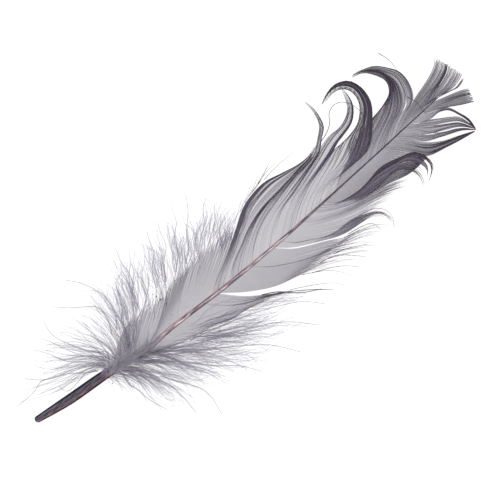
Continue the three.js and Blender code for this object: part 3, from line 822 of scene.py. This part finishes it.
def barbules(paths, bare, step, reach, rng):
    """Fine three-sided spikes round each down barb, as points and triangles."""
    legs = np.linalg.norm(np.diff(paths, axis=1), axis=2)
    corners = []
    for path, leg in zip(paths, legs):
        run = np.concatenate([[0], np.cumsum(leg)])
        count = max(4, int(run[-1] * (1 - bare) / step))
        spot = np.repeat(np.linspace(bare, rng.uniform(0.75, 0.97), count), 2) * run[-1]
        spot = spot + rng.uniform(-0.15, 0.15, spot.size)
        foot = np.column_stack([np.interp(spot, run, path[:, axis]) for axis in range(3)])
        ahead = np.column_stack([np.interp(spot + 0.3, run, path[:, axis]) for axis in range(3)])
        behind = np.column_stack([np.interp(spot - 0.3, run, path[:, axis]) for axis in range(3)])
        along = unit(ahead - behind)
        flat = unit(np.cross(along, (0, 0, 1)))
        up = np.cross(flat, along)
        sign = np.tile([1, -1], count)
        roll = rng.normal(0, 0.8, spot.size)
        outward = flat * (sign * np.cos(roll))[:, None] + up * np.sin(roll)[:, None]
        lean = np.radians(rng.uniform(25, 65, spot.size))
        way = along * np.cos(lean)[:, None] + outward * np.sin(lean)[:, None]
        share = spot / run[-1]
        long = reach * np.clip(np.sin(math.pi * (0.15 + 0.75 * share)), 0.25, 1)
        tip = foot + way * (long * rng.uniform(0.5, 1.2, spot.size))[:, None]
        ring = []
        for turn in range(3):
            angle = 2 * math.pi * turn / 3
            around = flat * math.cos(angle) + up * math.sin(angle)
            ring.append(foot + around * BARBULE_WIDTH / 2)
        corners.append(np.stack([*ring, tip], axis=1))
    corners = np.vstack(corners)
    number = np.arange(len(corners) * 4).reshape(-1, 4)
    faces = [number[:, [0, 2, 1]], number[:, [0, 1, 3]], number[:, [1, 2, 3]], number[:, [2, 0, 3]]]
    return corners.reshape(-1, 3), np.vstack(faces)


fluff, nodes, links, shader = new_material("down_fluff", 0.8)
greys = coloured(nodes, links, point_value(nodes, "tone"), DOWN_COLOURS)
links.new(greys, shader.inputs["Base Color"])
shader.inputs["Specular IOR Level"].default_value = 0.2
shader.inputs["Alpha"].default_value = DOWN_ALPHA


def make_down(name, paths, bare, step, reach, pale, rng):
    """One group of down barbs with their barbules as one mesh."""
    along = unit(np.gradient(paths, axis=1))
    across = unit(np.cross(along, (0, 0, 1)))
    share = np.linspace(0, 1, DOWN_POINTS)
    swell = np.clip(share / bare, 0.3, 1) * (1.15 - 0.65 * share)
    widths = DOWN_WIDTH * swell * rng.uniform(0.7, 1.3, (len(paths), 1))
    hair_points, hair_faces = strips(paths, across, widths, DOWN_RIDGE)
    spike_points, spike_faces = barbules(paths, bare, step, reach, rng)
    points = np.vstack([hair_points, spike_points])
    points[:, 2] = np.maximum(points[:, 2], 0.05)
    faces = np.vstack([hair_faces, spike_faces + len(hair_points)])
    out = np.abs(points[:, 1] - np.interp(points[:, 0], SHAFT_POINTS[:, 0], SHAFT_POINTS[:, 1]))
    tones = pale + out / DOWN_PALER
    tones[len(hair_points):] += BARBULES_PALER
    tones[:len(hair_points)] -= np.repeat(0.25 * rng.random(len(paths)) ** 2, DOWN_POINTS * 3)
    down = add_mesh(name, points, faces, {"tone": np.clip(tones, 0, 1)})
    down.data.materials.append(fluff)
    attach(down, "root")
    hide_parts("feather")


for group in DOWN_GROUPS:
    rng = np.random.default_rng(group["seed"])
    paths = down_paths(group, rng)
    make_down(group["name"], paths, group["bare"], group["step"], BARBULE_REACH, group["pale"], rng)


# ---- Down collar ----------------------------------------------------------
# The shortest down stands on top of the shaft's foot and hides it like a collar.
# It is rooted across the shaft's width and fans out along it.

COLLAR_BARBS = 190
COLLAR_ROOTS = (26, 44)
COLLAR_LENGTHS = (4, 10)
COLLAR_LIFTS = (0.8, 2.5)
COLLAR_BARE = 0.1
COLLAR_STEP = 0.35
COLLAR_REACH = 1.8
COLLAR_PALE = 0.65

rng = np.random.default_rng(25)
first, last = COLLAR_ROOTS
roots = shaft_at(first + (last - first) * rng.random(COLLAR_BARBS))
roots[:, 1] += rng.uniform(-0.5, 0.5, COLLAR_BARBS) * shaft_width(roots[:, 0])
roots[:, 2] += 0.4 * shaft_width(roots[:, 0])
turn = rng.normal(0.1, 0.45, COLLAR_BARBS)
run = rng.uniform(*COLLAR_LENGTHS, COLLAR_BARBS)
way = np.column_stack([np.cos(turn), np.sin(turn), 0 * turn])
near = roots + way * (0.4 * run)[:, None]
near[:, 2] += rng.uniform(*COLLAR_LIFTS, COLLAR_BARBS)
bend = turn + rng.normal(0, 0.5, COLLAR_BARBS)
tips = near + np.column_stack([np.cos(bend), np.sin(bend), 0 * bend]) * (0.6 * run)[:, None]
tips[:, 2] += rng.uniform(-1, 2, COLLAR_BARBS)
t = np.linspace(0, 1, DOWN_POINTS)[None, :, None]
paths = roots[:, None] * (1 - t) ** 2 + 2 * near[:, None] * t * (1 - t) + tips[:, None] * t**2
make_down("down_collar", paths, COLLAR_BARE, COLLAR_STEP, COLLAR_REACH, COLLAR_PALE, rng)


# ---- Long down hairs ------------------------------------------------------
# A few down barbs are longer than the rest and stand out alone at its edge.
# They are bare hairs that rise in a low arch and thin out towards the end.

LONG_POINTS = 2 * DOWN_POINTS
LONG_TAPER = (3, 1.5)  # times the width, from root to end
LONG_TONE = 0.1
# The width of each, and its line from root to end.
LONG_DOWN = [
    (0.14, [(39.2, 6.7), (42, 11.2), (43, 16.3), (41.8, 21.5), (39.3, 26.4), (35.8, 30.5)]),
    (0.14, [(36.9, 6.4), (38.9, 11.1), (38.8, 16.3), (35.4, 19.4), (31.6, 22), (27.2, 26)]),
    (0.13, [(31.3, 3.7), (28.2, 6.2), (25.9, 9.7), (23.4, 13.8), (21.4, 18.8), (21.8, 24)]),
    (0.12, [(30.2, 1.2), (27.2, 4.9), (24.5, 7.9), (21.6, 12.7), (19.4, 17.4), (17.5, 20.2)]),
    (0.13, [(28.3, 1), (24.6, 4.8), (19.6, 9.2), (16.5, 14.7), (13.7, 18.6)]),
    (0.15, [(28.4, 0.1), (24.8, 3), (20.1, 5.5), (15.2, 6.8), (9.5, 9.3), (5.1, 13.2)]),
    (0.14,
     [(25.8, 0), (21.8, 2.4), (17.5, 5.5), (13, 7.3), (9.3, 9), (7.3, 8.6), (4.5, 7.8), (1, 7.6),
      (-2.5, 7.5)]),
    (0.12, [(25.5, 0.7), (22.3, 2), (18.9, 1.4), (14.7, 0.9), (12.9, 1.9), (12.4, 4.4)]),
    (0.12, [(50.1, 12.3), (52.8, 15.2), (54, 19.3), (54.2, 23.4), (55.4, 27.5)]),
    (0.11, [(42.1, 7.7), (45.4, 11.8), (46.9, 15.7), (48.8, 19.2), (52.4, 20.6)]),
    (0.15, [(31.4, -5.7), (31.2, -10.2), (32.2, -13.1), (33.2, -18.2), (35.5, -24.2)]),
    (0.15, [(36, -9.4), (39.4, -14.7), (41.6, -19.4), (42.4, -24.7), (42.4, -31.5)]),
    (0.14, [(40.8, -14), (44.7, -19.7), (48.6, -25.4), (49.6, -30.4), (48.7, -36.9)]),
    (0.14, [(41.1, -8.4), (50.1, -15.6), (57, -22.8), (63.4, -28), (67.9, -34.1)]),
    (0.14, [(44.9, -8.9), (56.4, -15.6), (67.5, -22.8), (75.5, -28.8), (81.8, -36.8)]),
    (0.13, [(48.7, -9.4), (61.1, -15.1), (73.8, -20.3), (84.1, -25.9), (92, -33.5)]),
    (0.13, [(55.9, -11), (69.9, -14.6), (81.4, -18.7), (92.1, -23.9), (98.1, -29.5)]),
    (0.12, [(66.3, 9.4), (70.6, 13.7), (73.5, 18.9), (76.7, 22.3), (78.5, 27.2)]),
    (0.12, [(70.6, 9.4), (75, 13.5), (77.8, 18), (81.8, 22.4), (84.6, 26.9)]),
    (0.12, [(75.7, 9.5), (79.8, 13), (83.5, 16), (86.5, 20.3), (89.3, 22.3)]),
    (0.12, [(61.7, 8.9), (65.3, 14.5), (69.1, 18.2), (70.5, 23), (71.8, 26.2)]),
    (0.11, [(79.9, 9.5), (83.9, 12.3), (87.1, 14.8), (89.3, 18.1), (91.3, 19)]),
    (0.12, [(57.9, 9.4), (60.6, 14.9), (64.4, 18.6), (66, 23.2), (67.1, 25.7)]),
]


def hair(points, heights, count):
    """A smooth path through points seen from above, lifted from end to end."""
    line = smooth_line(points, count)
    start, end = heights
    return np.column_stack([line, np.linspace(start, end, count)])


def single_strips(paths, widths, ridge):
    """Closed strips that lie level along single hairs."""
    paths = np.stack(paths)
    across = unit(np.cross(unit(np.gradient(paths, axis=1)), (0, 0, 1)))
    return strips(paths, across, np.stack(widths), ridge)


rng = np.random.default_rng(31)
paths = []
widths = []
for width, line in LONG_DOWN:
    path = hair(line, (arch_height(line[0][0]), rng.uniform(0.3, 3)), LONG_POINTS)
    path[:, 2] += rng.uniform(0, 2) * np.sin(np.linspace(0, math.pi, LONG_POINTS))
    paths.append(path)
    widths.append(width * np.linspace(*LONG_TAPER, LONG_POINTS))
points, faces = single_strips(paths, widths, DOWN_RIDGE)
long_down = add_mesh("long_down", points, faces, {"tone": np.full(len(points), LONG_TONE)})
long_down.data.materials.append(fluff)
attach(long_down, "root")
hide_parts("feather")


# ---- Stray barbs ----------------------------------------------------------
# Single barbs have come away from their lock near its edge, and each curls
# on its own. One makes a loop between the hooks.

STRAY_TAPER = (1.9, 0.8)  # times the width, from root to end
STRAY_RIDGE = 0.5  # how high its ridge stands, for its width
STRAY_TONE = 0.2
# How high each starts and ends, its width, and its line.
STRAY_BARBS = [
    ((6, 8.5), 0.14,
     [(130, 12.9), (133.4, 14), (136.4, 15.9), (138.3, 18.6), (141, 19.8), (143.8, 19),
      (145.9, 16.3), (146.7, 13.1), (147.3, 9.7), (147.1, 6.9)]),
    ((8, 12), 0.14, [(163.3, 23.9), (164.1, 21.6), (164.6, 19.1), (164.3, 15.6)]),
    ((5.6, 3.9), 0.15, [(161.9, 6.8), (162.8, 4.7), (163.3, 2.8), (163.3, 1.1), (163.3, -1.5)]),
    ((4.6, 4), 0.1, [(102.4, 14.4), (105.8, 15.4), (110.1, 17.1), (113.9, 18.7)]),
    ((4.6, 4.2), 0.1, [(105.6, 15.2), (109.9, 16.4), (114.3, 17.1)]),
    ((4.6, 4.4), 0.1, [(108, 15), (113.3, 15.8), (117.3, 16), (121, 15.9)]),
    ((4.4, 3.8), 0.1, [(98.3, 13), (102.2, 14.6), (104.8, 15.8), (107.5, 17.5)]),
    ((4.4, 3.8), 0.1, [(95.2, 11.7), (98.3, 13.4), (101, 14.7), (103.1, 16.3)]),
    ((4.2, 3.6), 0.1, [(91.2, 9.8), (94.7, 12.1), (97.5, 14.1)]),
    ((4.4, 4), 0.1, [(100.4, 13.9), (104.3, 14.6), (107.9, 15.9), (111.9, 17.8)]),
    ((4.6, 6.5), 0.12,
     [(122, -14), (126.2, -14), (130.3, -15.2), (133, -17.7), (133.3, -21), (131.6, -24.2)]),
    ((4.4, 6), 0.12, [(120.6, -14.6), (125.2, -15.3), (129.5, -16.2), (131.9, -18.5), (132, -21.6)]),
    ((4, 5), 0.12, [(118.5, -16.3), (124, -17.3), (127, -18.8), (127.8, -22)]),
    ((3.8, 4), 0.12, [(116.6, -16.5), (121.7, -17.6), (125.2, -19.5)]),
    ((3, 2.4), 0.14, [(110.7, -18.5), (114.9, -19.7), (121.3, -22.8)]),
    ((2.8, 2), 0.12, [(105.3, -18), (109.6, -18.9), (113.4, -21.1), (118.6, -26.1)]),
    ((2.6, 1.6), 0.14, [(101.2, -18.9), (107.1, -21.5), (111.1, -23.9), (114.5, -27)]),
    ((2.4, 1.6), 0.2, [(83.7, -14.2), (88.5, -16.8), (93.9, -21.6), (99.2, -24.5), (103.3, -27.8)]),
    ((2.6, 1.4), 0.1, [(98.2, -17.3), (104.9, -21), (108.8, -24.6), (110.8, -27.9)]),
    ((2.4, 1.2), 0.1, [(92, -18.7), (98, -21.8), (103.7, -25.2), (107.2, -28.8)]),
]

paths = []
widths = []
for heights, width, line in STRAY_BARBS:
    paths.append(hair(line, heights, BARB_POINTS))
    widths.append(width * np.linspace(*STRAY_TAPER, BARB_POINTS))
points, faces = single_strips(paths, widths, STRAY_RIDGE)
values = {"tone": np.full(len(points), STRAY_TONE), "depth": np.ones(len(points))}
strays = add_mesh("stray_barbs", points, faces, values)
strays.data.materials.append(web)
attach(strays, "root")
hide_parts("feather")


# ---- Dirt -----------------------------------------------------------------
# Dark grains of dirt stick to the barbs beside the shaft's foot. Each is a
# small flat lump pressed into the vane.

# Where each grain lies and how high, and its length.
DIRT_GRAINS = [
    (55.8, 8.4, 4.9, 0.5), (56.2, 7.1, 4.9, 0.75), (56.7, 5.5, 5, 0.8), (57.5, 5.2, 5, 0.55),
    (57.3, 3.3, 5.2, 0.6), (56.5, -0.9, 5.5, 0.5), (61.7, -1.8, 5.6, 0.4), (54.4, -4.2, 6.4, 0.6),
    (46.8, 4.5, 4.8, 0.5), (49.5, 6.5, 4.7, 0.5), (54.2, 11.1, 3.9, 0.5), (26.9, -6.2, 0.2, 0.6),
]
GRAIN_SHAPE = (1, 0.6, 0.35)
GRIME_SCALE = 3000
GRIME_COLOURS = [(0, (0.012, 0.008, 0.01)), (1, (0.07, 0.055, 0.07))]

grains = []
for x, y, level, size in DIRT_GRAINS:
    bpy.ops.mesh.primitive_ico_sphere_add(
        subdivisions=1, radius=0.5 * size * MM, location=in_metres((x, y, level)),
        rotation=(0, 0, 3 * x))
    grain_piece = bpy.context.object
    bpy.ops.transform.resize(value=GRAIN_SHAPE)
    grains.append(grain_piece)
for grain_piece in grains:
    grain_piece.select_set(True)
bpy.ops.object.join()
dirt = bpy.context.object
dirt.name = "dirt"
bpy.ops.object.transform_apply(location=True, rotation=True, scale=True)
bpy.ops.object.shade_smooth()
grime, nodes, links, shader = new_material("grime", 0.9)
place = nodes.new("ShaderNodeTexCoord")
mottle = nodes.new("ShaderNodeTexNoise")
mottle.inputs["Scale"].default_value = GRIME_SCALE
links.new(place.outputs["Object"], mottle.inputs["Vector"])
browns = coloured(nodes, links, mottle.outputs["Fac"], GRIME_COLOURS)
links.new(browns, shader.inputs["Base Color"])
dirt.data.materials.append(grime)
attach(dirt, "root")
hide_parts("feather")
